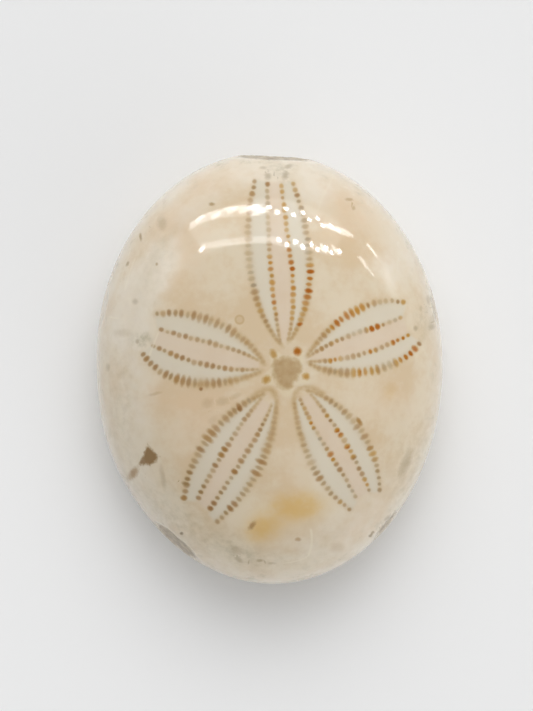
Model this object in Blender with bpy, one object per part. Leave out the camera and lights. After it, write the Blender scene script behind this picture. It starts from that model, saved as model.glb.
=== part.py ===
"""Fossil sea urchin: one low, domed test of polished limestone that lies on its ground, flat base.

Metres, +Z up. +Y points to the front of the animal. The origin is the middle of the base.
"""

import math
from collections import namedtuple

import bmesh
import bpy
from mathutils import Vector

# Driving dimensions
LENGTH = 0.0403  # front to back, before the rim facets are worn
WIDTH = 0.0323
HEIGHT = 0.0162
GIRTH_HEIGHT = 0.0053  # the widest section, above the base
KEEL_DEPTH = 0.0078  # how far the underside would reach below the widest section, had it not been ground
BASE_ROUNDING = 0.0006  # of the edge between the ground base and the flank

# The widest section, seen from above
LEAN = math.radians(2.3)  # turns the long axis towards the front left
REAR_FULLNESS = 0.0063  # three-lobed swelling that blunts the rear, as a share of the radius
FLANK_SWELL = 0.00025  # of the rear left flank
FLANK_SWELL_AZIMUTH = math.radians(208)
FLANK_SWELL_SPREAD = math.radians(18)

# Upright section: 2 is an ellipse, and more is squarer
DOME_POWER = 2.2
KEEL_POWER = 2.5

# Resolution of the faceted solid
COLUMNS = 84
ROWS = 36

# Worn flats where the five ambulacra cross the rim: the way they face, their upward tilt, how deep they go
Facet = namedtuple("Facet", "azimuth tilt depth")
FACETS = (
    Facet(math.radians(87), math.radians(8), 0.00045),
    Facet(math.radians(13), math.radians(12), 0.00009),
    Facet(math.radians(320), math.radians(14), 0.00010),
    Facet(math.radians(229), math.radians(16), 0.00021),
    Facet(math.radians(168), math.radians(14), 0.00008),
)

# Sunken openings of the underside: the middle on the base, the size across and along, the depth,
# and how far five corners stand out, as a share of the radius
Pit = namedtuple("Pit", "name middle size depth corners")
MOUTH = Pit("mouth_cutter", (0.0007, 0.0020), (0.0034, 0.0027), 0.0013, 0.09)
PERIPROCT = Pit("periproct_cutter", (0.0002, -0.0126), (0.0031, 0.0019), 0.0007, 0.0)
PIT_SEGMENTS = 30
PIT_RINGS = 12

STONE_COLOUR = (0.694, 0.575, 0.420, 1.0)
STONE_ROUGHNESS = 0.12


def clear_scene():
    for thing in list(bpy.data.objects):
        bpy.data.objects.remove(thing, do_unlink=True)


def outline_radius(azimuth):
    """Radius of the widest section: a leaning ellipse with a blunt rear and one fuller flank."""
    turned = azimuth - LEAN
    across, along = WIDTH / 2, LENGTH / 2
    ellipse = across * along / math.hypot(along * math.cos(turned), across * math.sin(turned))
    off_flank = math.remainder(azimuth - FLANK_SWELL_AZIMUTH, math.tau) / FLANK_SWELL_SPREAD
    swell = FLANK_SWELL * math.exp(-(off_flank**2))
    return ellipse * (1 + REAR_FULLNESS * math.sin(3 * azimuth)) + swell


def rounded_above_base(height):
    """The height, with everything under the base cut flat and the corner there rounded."""
    if height >= BASE_ROUNDING:
        return height
    if height <= -BASE_ROUNDING:
        return 0.0
    return (height + BASE_ROUNDING) ** 2 / (4 * BASE_ROUNDING)


def surface_point(direction):
    """The point of the test in a unit direction: above the widest section the dome, below it the keel."""
    azimuth = math.atan2(direction.y, direction.x)
    spread = max(0.0, 1 - direction.z**2)
    if direction.z >= 0:
        share = spread ** (1 / DOME_POWER)
        height = GIRTH_HEIGHT + (HEIGHT - GIRTH_HEIGHT) * direction.z
    else:
        share = spread ** (1 / KEEL_POWER)
        height = rounded_above_base(GIRTH_HEIGHT + KEEL_DEPTH * direction.z)
    radius = share * outline_radius(azimuth)
    return Vector((radius * math.cos(azimuth), radius * math.sin(azimuth), height))


def wear_facet(shape, facet):
    """Cuts the flat of one facet, measured inwards from the outermost point that faces its way."""
    flat = math.cos(facet.tilt)
    facing = Vector((flat * math.cos(facet.azimuth), flat * math.sin(facet.azimuth), math.sin(facet.tilt)))
    reach = max(vert.co.dot(facing) for vert in shape.verts)
    everything = shape.verts[:] + shape.edges[:] + shape.faces[:]
    cut = bmesh.ops.bisect_plane(
        shape, geom=everything, plane_co=facing * (reach - facet.depth), plane_no=facing, clear_outer=True
    )
    rim = [item for item in cut["geom_cut"] if isinstance(item, bmesh.types.BMEdge)]
    bmesh.ops.edgenet_fill(shape, edges=rim)


def centre_on_base(shape):
    """Puts the middle of the plan's bounding box over the origin."""
    across = [vert.co.x for vert in shape.verts]
    along = [vert.co.y for vert in shape.verts]
    middle = Vector((min(across) + max(across), min(along) + max(along), 0)) / 2
    bmesh.ops.translate(shape, vec=-middle, verts=shape.verts)


def make_test():
    shape = bmesh.new()
    bmesh.ops.create_uvsphere(shape, u_segments=COLUMNS, v_segments=ROWS, radius=1)
    for vert in shape.verts:
        vert.co = surface_point(vert.co.normalized())
    for face in shape.faces:
        face.smooth = any(vert.co.z > 0 for vert in face.verts)
    for facet in FACETS:
        wear_facet(shape, facet)
    centre_on_base(shape)
    bmesh.ops.recalc_face_normals(shape, faces=shape.faces)
    mesh = bpy.data.meshes.new("fossil_sea_urchin")
    shape.to_mesh(mesh)
    shape.free()
    test = bpy.data.objects.new("fossil_sea_urchin", mesh)
    bpy.context.collection.objects.link(test)
    return test


def sink_pit(test, pit):
    """Cuts one shallow bowl into the base: half of a cornered ellipsoid whose equator lies on the base."""
    shape = bmesh.new()
    bmesh.ops.create_uvsphere(shape, u_segments=PIT_SEGMENTS, v_segments=PIT_RINGS, radius=1)
    for vert in shape.verts:
        spread = 1 + pit.corners * math.sin(5 * math.atan2(vert.co.y, vert.co.x))
        vert.co.x *= spread * pit.size[0] / 2
        vert.co.y *= spread * pit.size[1] / 2
        vert.co.z *= pit.depth
    for face in shape.faces:
        face.smooth = True
    mesh = bpy.data.meshes.new(pit.name)
    shape.to_mesh(mesh)
    shape.free()
    cutter = bpy.data.objects.new(pit.name, mesh)
    bpy.context.collection.objects.link(cutter)
    cutter.location = (*pit.middle, 0)
    cutter.hide_render = True
    cutter.display_type = "WIRE"
    cut = test.modifiers.new(pit.name, "BOOLEAN")
    cut.operation = "DIFFERENCE"
    cut.solver = "EXACT"
    cut.object = cutter


def make_stone():
    stone = bpy.data.materials.new("polished_fossil_limestone")
    stone.use_nodes = True
    shader = stone.node_tree.nodes["Principled BSDF"]
    shader.inputs["Base Color"].default_value = STONE_COLOUR
    shader.inputs["Roughness"].default_value = STONE_ROUGHNESS
    shader.inputs["Metallic"].default_value = 0.0
    return stone


def main():
    clear_scene()
    test = make_test()
    sink_pit(test, MOUTH)
    sink_pit(test, PERIPROCT)
    test.data.materials.append(make_stone())


main()
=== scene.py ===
import math
from collections import namedtuple

import bpy
import numpy as np
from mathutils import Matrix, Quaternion, Vector, noise


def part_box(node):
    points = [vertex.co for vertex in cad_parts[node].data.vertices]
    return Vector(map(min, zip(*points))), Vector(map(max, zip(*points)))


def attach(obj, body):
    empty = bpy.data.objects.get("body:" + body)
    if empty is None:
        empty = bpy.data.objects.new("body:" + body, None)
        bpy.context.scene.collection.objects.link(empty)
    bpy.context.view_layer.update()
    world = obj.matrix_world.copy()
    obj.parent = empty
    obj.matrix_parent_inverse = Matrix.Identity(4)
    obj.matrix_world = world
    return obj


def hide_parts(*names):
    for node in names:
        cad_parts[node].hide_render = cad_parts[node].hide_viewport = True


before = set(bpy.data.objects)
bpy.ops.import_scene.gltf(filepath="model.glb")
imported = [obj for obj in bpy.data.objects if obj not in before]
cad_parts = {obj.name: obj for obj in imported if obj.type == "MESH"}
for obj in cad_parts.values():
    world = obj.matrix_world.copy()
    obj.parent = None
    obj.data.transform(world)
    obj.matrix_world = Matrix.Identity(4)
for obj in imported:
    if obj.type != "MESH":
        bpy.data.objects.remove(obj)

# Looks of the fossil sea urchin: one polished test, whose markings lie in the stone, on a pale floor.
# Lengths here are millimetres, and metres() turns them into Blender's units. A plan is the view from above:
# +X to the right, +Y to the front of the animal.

NODE = "fossil_sea_urchin"
SLOT = "polished_fossil_limestone"
BODY = "root"
PIECE = "polished_test"
MM = 0.001
FAR = 9.0  # farther than any mark reaches; a depth of -FAR is well outside

# Form of the test, as the solid has it
LENGTH = 40.3
WIDTH = 32.3
HEIGHT = 16.2
GIRTH_HEIGHT = 5.3
KEEL_DEPTH = 7.8
BASE_ROUNDING = 0.6
LEAN = math.radians(2.3)
REAR_FULLNESS = 0.0063
FLANK_SWELL = 0.25
FLANK_SWELL_AZIMUTH = math.radians(208)
FLANK_SWELL_SPREAD = math.radians(18)
DOME_POWER = 2.2
KEEL_POWER = 2.5

# Worn flats of the rim: the way each faces, its upward tilt, how deep it goes and how dull it is
Facet = namedtuple("Facet", "azimuth tilt depth dullness")
FACETS = (
    Facet(87, 8, 0.45, 0.9),
    Facet(13, 12, 0.09, 0.45),
    Facet(320, 14, 0.10, 0.8),
    Facet(229, 16, 0.21, 0.8),
    Facet(168, 14, 0.08, 0.15),
)
FACET_REACH = 2  # how far under a flat's plane its ragged edge is still worked out

# Sunken openings of the underside: middle, size across and along, depth, share that five corners stand out
Pit = namedtuple("Pit", "middle size depth corners")
MOUTH = Pit((0.7, 2.0), (3.4, 2.7), 1.3, 0.09)
PERIPROCT = Pit((0.2, -12.6), (3.1, 1.9), 0.7, 0.0)
BASE_TOP = 0.01  # points under this lie on the ground base

# Rings of the mesh, from the top to the middle of the base, and points on each
COLUMNS = 384
DOME_ROWS = 152
FLANK_ROWS = 38
BASE_ROWS = 60
SECTION_STEPS = 6001  # along the upright section, to space the rings by its length

# Relief too fine for the solid: hand polishing leaves shallow waves, and wear leaves ragged, pitted flats
Relief = namedtuple("Relief", "depth length seed")
WAVES = Relief(0.006, 3.2, 1.0)
RAGS = Relief(0.05, 0.9, 3.0)
GRAIN = Relief(0.05, 0.45, 5.0)
RAGGED_FACET = 0.3  # depth of the flat that is as ragged as RAGS says; the others are in proportion
GRAIN_FADE = 0.05  # depth at which the grain is full

# Pores. A row runs from its base by the crown to its tip, and its bends shape it like a cubic Bezier curve.
# Its tones are spread evenly along it, and its lengths are the pores' half-lengths across the row at the
# base, the middle and the tip.
Row = namedtuple("Row", "base bend_out bend_in tip pitch lengths tones")
ROUND = (0.17, 0.28, 0.20)
BROAD = (0.17, 0.30, 0.27)
SLIT = (0.24, 0.50, 0.26)
SHORT_SLIT = (0.20, 0.42, 0.21)
FRONT_PITCH = 0.60
SIDE_PITCH = 0.56
REAR_PITCH = 0.57

# Each petal's rows are listed clockwise: an outer one, the two inner ones and the other outer one
PETALS = {
    "front": (
        Row((1.1, 2.2), (-2.2, 5.7), (-2.5, 12.7), (-1.3, 17.5), FRONT_PITCH, SHORT_SLIT,
            "fused tan ochre olive faint faint tan brown brown"),
        Row((0.95, 2.4), (0.1, 7.2), (-0.2, 12), (-0.2, 17.2), FRONT_PITCH, ROUND,
            "tan tan orange ochre orange faint faint grey dark"),
        Row((1.65, 2.55), (2.9, 7.4), (1.3, 12.4), (1.1, 17.1), FRONT_PITCH, ROUND,
            "tan ochre ochre orange orange ochre ochre ochre"),
        Row((1.85, 2.65), (4.8, 7.2), (3.5, 12.8), (2.1, 17.3), FRONT_PITCH, SHORT_SLIT,
            "tan ochre ochre orange orange grey brown grey dark ochre"),
    ),
    "right": (
        Row((3.35, 1.2), (5.6, 4.5), (9, 6.8), (12.5, 6.1), SIDE_PITCH, SHORT_SLIT,
            "fused fused tan orange orange ochre ochre faint brown ochre"),
        Row((3.35, 1.05), (6.1, 3.1), (9.4, 3.6), (12.2, 4.8), SIDE_PITCH, ROUND,
            "fused tan brown brown ochre tan faint grey orange orange faint grey orange"),
        Row((3.45, 0.72), (7.1, 0.7), (10.2, 1.8), (12.9, 3.3), SIDE_PITCH, ROUND,
            "fused fused tan orange faint tan brown orange tan brown orange orange ochre"),
        Row((3.5, 0.6), (6.6, -1.2), (12.1, -0.2), (13.8, 2.6), SIDE_PITCH, SLIT,
            "tan fused olive tan orange ochre grey orange orange brown"),
    ),
    "rear_right": (
        Row((3.2, -1.8), (7.3, -2.9), (10, -7.2), (10.1, -11.3), REAR_PITCH, SHORT_SLIT,
            "fused fused tan tan faint tan tan ochre brown brown tan"),
        Row((3.6, -2.1), (6, -4.9), (7.8, -8), (9.2, -11.3), REAR_PITCH, ROUND,
            "fused fused tan ochre brown orange tan orange dark brown brown orange grey"),
        Row((2.7, -2.5), (3.9, -5.8), (6.4, -8.7), (7.9, -11.8), REAR_PITCH, ROUND,
            "tan ochre tan orange faint grey ochre orange tan dark tan grey tan"),
        Row((2.2, -2.8), (2.7, -6.8), (4.2, -10.7), (7.5, -12.9), REAR_PITCH, SHORT_SLIT,
            "fused fused faint fused tan faint brown brown tan ochre tan"),
    ),
    "rear_left": (
        Row((0.6, -2.8), (0.5, -7), (-1.8, -11.4), (-5, -14), REAR_PITCH, SLIT,
            "fused fused faint fused brown brown tan brown brown brown"),
        Row((0.2, -3.1), (-1.2, -6.7), (-3.6, -9.7), (-5.5, -12.9), REAR_PITCH, BROAD,
            "tan brown dark brown tan tan dark brown dark dark brown"),
        Row((-0.7, -2.5), (-3.1, -5.4), (-5, -8.6), (-6.6, -11.9), REAR_PITCH, BROAD,
            "faint faint tan faint brown dark dark brown tan dark dark"),
        Row((-0.4, -2.1), (-4.4, -3.7), (-7.5, -7.9), (-7.8, -12), FRONT_PITCH, SLIT,
            "fused grey brown tan brown brown brown tan dark brown brown"),
    ),
    "left": (
        Row((-0.7, -0.1), (-4.3, -1.8), (-9.3, -2), (-11.7, 1.6), SIDE_PITCH, SLIT,
            "fused fused fused tan fused tan brown brown brown brown"),
        Row((-0.9, 0), (-4.4, -0.2), (-7.9, 0.7), (-10.8, 2.3), SIDE_PITCH, ROUND,
            "faint tan brown brown tan brown brown tan dark"),
        Row((-0.9, 0.8), (-3.8, 2.3), (-7.1, 2.7), (-10.1, 3.7), SIDE_PITCH, ROUND,
            "faint tan tan tan tan tan brown tan brown"),
        Row((-0.5, 0.5), (-2.3, 3.7), (-6.8, 5.6), (-10.5, 5), SIDE_PITCH, SLIT,
            "fused fused fused tan tan tan tan brown brown tan"),
    ),
}

# How strong a tone's pores are, their place on the ramp from grey over brown to orange, and the haze
# round them
Tone = namedtuple("Tone", "strength warmth haze")
TONES = {
    "faint": Tone(0.3, 0.28, 0.45),
    "fused": Tone(0.26, 0.5, 1),
    "grey": Tone(0.42, 0.05, 0.35),
    "olive": Tone(0.5, 0.18, 0.5),
    "tan": Tone(0.56, 0.42, 0.5),
    "brown": Tone(0.74, 0.44, 0.4),
    "dark": Tone(1, 0.44, 0.4),
    "ochre": Tone(0.8, 0.75, 0.45),
    "orange": Tone(1, 1.12, 0.45),
}
CROWDING = 0.72  # pitch at a row's base, as a share of its usual pitch
CROWDED_SHARE = 0.35  # of the row's length
COUNT_SPARE = 0.3  # pores are counted this far past both ends, as a share of the row's length
COUNT_STEPS = 321
ROW_STEPS = 160
ROW_SPARE = 0.06  # run on past both ends, as a share of the curve
ROW_MARGIN = 2.5  # round a row's curve, for the points that it is worked out at
ROW_NUMBERS = 64  # apart, so that no two rows' pores share a number
OUTER_REACH = 0.70
INNER_REACH = 0.42
SWITCH_GAP = 0.14  # kept clear of pores where the nearest row changes
HAZE_WIDTH = 0.95  # as a share of the pores' half-length
HAZE_ENDS = (-0.03, 0.02, 0.98, 1.02)  # shares of the row between which it comes and goes
OUTER_FUSED = 0.26  # share of the row's length where the pores fade into the haze
INNER_FUSED = 0.16
FUSED_STRENGTH = 0.45
INNER_HAZE = 0.75  # as a share of an outer row's haze

# Haze that joins the outer rows of the two rear petals round their bases
Loop = namedtuple("Loop", "base bend_out bend_in tip")
LOOPS = (
    Loop((2.25, -3.2), (2.1, -1.3), (3.2, -1.2), (4.8, -2.2)),
    Loop((-1.9, -2.9), (-0.6, -1.4), (0.65, -1.3), (0.62, -3.2)),
)
LOOP_WIDTH = 0.28
LOOP_HAZE = 0.75
LINE_MARGIN = 1.5  # round the curve of a loop or a fine line

# Five pairs of faint pore rows run outwards from the mouth
UNDERSIDE_START = 2.6
UNDERSIDE_END = 9.4
UNDERSIDE_HALF_GAP = 0.55
UNDERSIDE_TONES = "olive faint faint faint"


def metres(value):
    return value * MM


def linear(red, green, blue):
    """A colour given as 0 to 255 on screen, in the linear numbers that nodes take."""
    shares = np.array((red, green, blue)) / 255
    channels = np.where(shares <= 0.04045, shares / 12.92, ((shares + 0.055) / 1.055) ** 2.4)
    return (*channels.tolist(), 1.0)


def add_object(name, data):
    thing = bpy.data.objects.new(name, data)
    bpy.context.scene.collection.objects.link(thing)
    return thing


# ---------------------------------------------------------------- form


def outline_radius(azimuth):
    """Radius of the widest section: a leaning ellipse with a blunt rear and one fuller flank."""
    turned = azimuth - LEAN
    across, along = WIDTH / 2, LENGTH / 2
    ellipse = across * along / np.hypot(along * np.cos(turned), across * np.sin(turned))
    off_flank = np.remainder(azimuth - FLANK_SWELL_AZIMUTH + math.pi, math.tau) - math.pi
    swell = FLANK_SWELL * np.exp(-((off_flank / FLANK_SWELL_SPREAD) ** 2))
    return ellipse * (1 + REAR_FULLNESS * np.sin(3 * azimuth)) + swell


def section(rise):
    """Share of the outline's radius, and height; the rise is 1 at the top and -1 at the keel's foot."""
    room = np.maximum(0, 1 - rise**2)
    keel = GIRTH_HEIGHT + KEEL_DEPTH * rise
    rounded = np.clip(keel + BASE_ROUNDING, 0, None) ** 2 / (4 * BASE_ROUNDING)
    below = np.where(keel >= BASE_ROUNDING, keel, rounded)
    above = GIRTH_HEIGHT + (HEIGHT - GIRTH_HEIGHT) * rise
    share = np.where(rise >= 0, room ** (1 / DOME_POWER), room ** (1 / KEEL_POWER))
    return share, np.where(rise >= 0, above, below)


def ring_rises():
    """Each ring's rise and length along the section, evenly spaced on the dome, the flank and the base."""
    fine = np.sin(np.linspace(math.pi / 2, -math.pi / 2, SECTION_STEPS))
    share, height = section(fine)
    steps = np.hypot(np.diff(share) * (LENGTH + WIDTH) / 4, np.diff(height))
    lengths = np.concatenate(([0], np.cumsum(steps)))
    girth = np.interp(0, -fine, lengths)
    base = lengths[np.argmax(height <= 0)]
    dome = np.linspace(0, girth, DOME_ROWS + 1)[1:]
    flank = np.linspace(girth, base, FLANK_ROWS + 1)[1:]
    ground = np.linspace(base, lengths[-1], BASE_ROWS + 2)[1:-1]
    wanted = np.concatenate((dome, flank, ground))
    return np.interp(wanted, lengths, fine), wanted


def ring_points(rises):
    """Points of all rings, ring by ring, then the top and the middle of the base."""
    azimuths = np.linspace(0, math.tau, COLUMNS, endpoint=False)
    share, height = section(rises)
    radius = share[:, None] * outline_radius(azimuths)[None, :]
    heights = np.repeat(height[:, None], COLUMNS, axis=1)
    rings = np.stack((radius * np.cos(azimuths), radius * np.sin(azimuths), heights), axis=-1)
    ends = np.array(((0, 0, HEIGHT), (0, 0, 0)))
    return np.concatenate((rings.reshape(-1, 3), ends))


def relief_noise(points, relief):
    """Soft noise from about -1 to 1 at each point."""
    shift = Vector((relief.seed, 2.7 * relief.seed, -1.3 * relief.seed))
    return np.array([noise.noise(Vector(point) / relief.length + shift) for point in points])


def hollows(points, relief):
    """How far a relief sinks each point: from 0 to about its depth."""
    return relief.depth * (0.5 + 0.5 * relief_noise(points, relief))


def facing(facet):
    azimuth, tilt = math.radians(facet.azimuth), math.radians(facet.tilt)
    flat = math.cos(tilt)
    return np.array((flat * math.cos(azimuth), flat * math.sin(azimuth), math.sin(tilt)))


def wave(points):
    """Sinks the polished surface by a few micrometres, in soft waves."""
    normals = points - np.array((0, 0, GIRTH_HEIGHT))
    normals /= np.linalg.norm(normals, axis=1)[:, None]
    depth = np.where(points[:, 2] > BASE_ROUNDING, hollows(points, WAVES), 0)
    return points - normals * depth[:, None]


def wear(points):
    """Grinds the facets into the rim. Also gives how far each point stood out over the nearest facet, and
    how dull that facet is."""
    worn = points.copy()
    excess = np.full(len(points), -FAR)
    dullness = np.zeros(len(points))
    for facet in FACETS:
        normal = facing(facet)
        over = points @ normal
        over -= over.max() - facet.depth
        near = over > -FACET_REACH
        raggedness = RAGS.depth * facet.depth / RAGGED_FACET
        over[near] += raggedness * relief_noise(points[near], RAGS)
        inside = over > 0
        grain = hollows(points[inside], GRAIN) * np.clip(over[inside] / GRAIN_FADE, 0, 1)
        worn[inside] -= (over[inside] + grain)[:, None] * normal
        dullness[over > excess] = facet.dullness
        excess = np.maximum(excess, over)
    return worn, excess, dullness


def bowl(points, pit):
    """Share of a pit's depth at each point of the base, 0 outside it."""
    across = points[:, 0] - pit.middle[0]
    along = points[:, 1] - pit.middle[1]
    widening = 1 + pit.corners * np.sin(5 * np.arctan2(along, across))
    out = np.hypot(across / pit.size[0], along / pit.size[1]) * 2 / widening
    return np.where(points[:, 2] < BASE_TOP, np.sqrt(np.clip(1 - out**2, 0, 1)), 0)


def sink_pits(points):
    """Points with the mouth and the vent sunk into the base, and the share of its pit's depth at each."""
    bowls = [bowl(points, pit) for pit in (MOUTH, PERIPROCT)]
    sunk = points.copy()
    sunk[:, 2] += MOUTH.depth * bowls[0] + PERIPROCT.depth * bowls[1]
    return sunk, np.maximum(*bowls)


def fit_to_solid(points):
    """Puts the form into the solid's own box: the finer mesh would stand out a few micrometres."""
    low, high = (np.array(corner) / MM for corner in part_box(NODE))
    own_low, own_high = points.min(axis=0), points.max(axis=0)
    return low + (points - own_low) * (high - low) / (own_high - own_low)


def make_mesh(points, rings):
    """Quads between the rings, with a fan at the top and one in the middle of the base."""
    top, bottom = len(points) - 2, len(points) - 1
    faces = []
    for column in range(COLUMNS):
        following = (column + 1) % COLUMNS
        faces.append((top, column, following))
        for ring in range(rings - 1):
            upper, lower = ring * COLUMNS, (ring + 1) * COLUMNS
            faces.append((upper + column, lower + column, lower + following, upper + following))
        last = (rings - 1) * COLUMNS
        faces.append((last + following, last + column, bottom))
    mesh = bpy.data.meshes.new(PIECE)
    mesh.from_pydata((points * MM).tolist(), [], faces)
    mesh.shade_smooth()
    mesh.update()
    return mesh


# Two round islands of the texture map: the dome, and the flank with the base
Island = namedtuple("Island", "middle radius")
DOME_ISLAND = Island((0.37, 0.37), 0.36)
BASE_ISLAND = Island((0.795, 0.795), 0.195)


def island_spots(island, share, angle):
    """Places on an island at a share of its radius."""
    reach = island.radius * share
    across = island.middle[0] + reach * np.cos(angle)
    along = island.middle[1] + reach * np.sin(angle)
    return np.stack((across, along), axis=1)


def add_map(mesh, lengths):
    """Lays the dome and the underside out as two discs whose radius is the length along the section."""
    girth = lengths[DOME_ROWS - 1]
    whole = 2 * lengths[-1] - lengths[-2]
    length = np.concatenate((np.repeat(lengths, COLUMNS), (0, whole)))
    angle = np.arange(len(length)) * math.tau / COLUMNS
    dome = island_spots(DOME_ISLAND, length / girth, angle)
    underside = island_spots(BASE_ISLAND, (whole - length) / (whole - girth), angle)
    layer = mesh.uv_layers.new(name="OFBake")
    for face in mesh.polygons:
        spots = dome if length[list(face.vertices)].max() <= girth else underside
        for corner in face.loop_indices:
            layer.uv[corner].vector = spots[mesh.loops[corner].vertex_index]


# ---------------------------------------------------------------- fields of the markings


class Nearest:
    """What the nearest of many marks says at each point, and how far off it and the second nearest are."""

    def __init__(self, count, blank):
        self.distance = np.full(count, FAR)
        self.second = np.full(count, 2 * FAR)
        self.values = np.tile(np.array(blank, dtype=float), (count, 1))

    def add(self, near, distance, values):
        """Notes one mark at the points near it; a value is a number or one number for each of them."""
        former = self.distance[near]
        closer = distance < former
        self.second[near] = np.where(closer, former, np.minimum(self.second[near], distance))
        self.distance[near[closer]] = distance[closer]
        columns = [np.broadcast_to(value, distance.shape) for value in values]
        self.values[near[closer]] = np.stack(columns, axis=1)[closer]

    def clearance(self):
        """How far each point is clear of the line where the nearest mark changes."""
        return self.second - self.distance - SWITCH_GAP


def curve(row):
    """Points, unit ways and lengths along a row's curve, run on a little past both ends."""
    share = np.linspace(-ROW_SPARE, 1 + ROW_SPARE, ROW_STEPS)[:, None]
    corners = [np.array(corner) for corner in (row.base, row.bend_out, row.bend_in, row.tip)]
    weights = ((1 - share) ** 3, 3 * (1 - share) ** 2 * share, 3 * (1 - share) * share**2, share**3)
    points = sum(weight * corner for weight, corner in zip(weights, corners))
    steps = np.diff(points, axis=0)
    lengths = np.concatenate(([0], np.cumsum(np.hypot(steps[:, 0], steps[:, 1]))))
    lengths -= np.interp(0, share[:, 0], lengths)
    ways = np.gradient(points, axis=0)
    ways /= np.linalg.norm(ways, axis=1)[:, None]
    return points, ways, lengths, np.interp(1, share[:, 0], lengths)


def measure(plan, row, margin, side=True):
    """For the points of a plan on one side of the test and within a margin of a row: which they are, their
    distance aside of the curve, positive on the left of its way, their share of its length, and that
    length."""
    points, ways, lengths, whole = curve(row)
    low, high = points.min(axis=0) - margin, points.max(axis=0) + margin
    near = np.flatnonzero(np.all((plan > low) & (plan < high), axis=1) & side)
    gaps = plan[near, None, :] - points[None, :, :]
    closest = np.argmin((gaps**2).sum(axis=2), axis=1)
    gap = gaps[np.arange(len(near)), closest]
    way = ways[closest]
    ahead = (gap * way).sum(axis=1)
    aside = way[:, 0] * gap[:, 1] - way[:, 1] * gap[:, 0]
    return near, aside, (lengths[closest] + ahead) / whole, whole


def past_ends(share, whole):
    """How far beyond its row's nearer end each point is, 0 beside the row."""
    return np.maximum(0, np.maximum(-share, share - 1)) * whole


def pores_before(share, pitch, whole):
    """How many pores lie between the row's base and a share of its length: they crowd near the base."""
    steps = np.linspace(-COUNT_SPARE, 1 + COUNT_SPARE, COUNT_STEPS)
    loose = np.clip(steps / CROWDED_SHARE, 0, 1)
    pitches = pitch * (CROWDING + (1 - CROWDING) * loose)
    counts = np.concatenate(([0], np.cumsum(np.diff(steps) * whole / pitches[1:])))
    counts -= np.interp(0, steps, counts)
    total = max(1, round(float(np.interp(1, steps, counts))))
    counts *= total / np.interp(1, steps, counts)
    return np.interp(share, steps, counts), total


def along_tones(names, share):
    """The tone at a share of a row's length."""
    tones = [TONES[name] for name in names.split()]
    places = np.linspace(0, 1, len(tones))
    return Tone(*(np.interp(share, places, values) for values in zip(*tones)))


def half_length(row, share):
    """Of a pore at a share of the row's length, across the row."""
    return np.interp(share, (0, 0.5, 1), row.lengths)


def along_haze(row, aside, share, fused):
    """The haze beside a row, which is full as far as the pores are fused."""
    level = np.maximum(along_tones(row.tones, share).haze, np.interp(share, (fused, 2 * fused), (1, 0)))
    ends = np.interp(share, HAZE_ENDS, (0, 1, 1, 0))
    return level * ends * np.exp(-((aside / (HAZE_WIDTH * half_length(row, share))) ** 2))


class PoreRows(Nearest):
    """What the material draws pores from: each point's place beside its nearest row, and that row's look."""

    def __init__(self, count, reach, fused):
        super().__init__(count, (0, 0, -FAR, 0, 0, 0))
        self.reach = reach
        self.fused = fused
        self.rows = 0

    def add_row(self, row, near, aside, share, whole):
        counts, total = pores_before(share, row.pitch, whole)
        distance = np.abs(aside) + past_ends(share, whole)
        number = counts + ROW_NUMBERS * (self.rows + 0.5)
        inside = np.minimum(np.minimum(counts, total - counts), (self.reach - distance) / row.pitch)
        tone = along_tones(row.tones, share)
        strength = tone.strength * np.interp(share, (0, self.fused), (FUSED_STRENGTH, 1))
        self.add(near, distance, (aside, number, inside, half_length(row, share), strength, tone.warmth))
        self.rows += 1

    def fields(self):
        """The place: how far aside, the pore's number, above 0 where it may show. The look: half-length,
        strength, warmth."""
        self.values[:, 2] = np.minimum(self.values[:, 2], self.clearance() / SIDE_PITCH)
        return np.split(self.values, 2, axis=1)


def underside_rows():
    """Straight pairs of faint rows, one pair for each petal."""
    middle = np.array(MOUTH.middle)
    for number in range(5):
        azimuth = math.radians(90 + 72 * number)
        way = np.array((math.cos(azimuth), math.sin(azimuth)))
        left = np.array((-way[1], way[0]))
        for side in (-1, 1):
            places = np.linspace(UNDERSIDE_START, UNDERSIDE_END, 4)
            spots = [tuple(middle + place * way + side * UNDERSIDE_HALF_GAP * left) for place in places]
            yield Row(*spots, FRONT_PITCH, ROUND, UNDERSIDE_TONES)


def depth_between(first, second):
    """How deep each point lies between two rows, each given as its depths to the left, right and inside."""
    return np.minimum(np.minimum(first[:, 1], second[:, 0]), np.maximum(first[:, 2], second[:, 2]))


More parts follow.
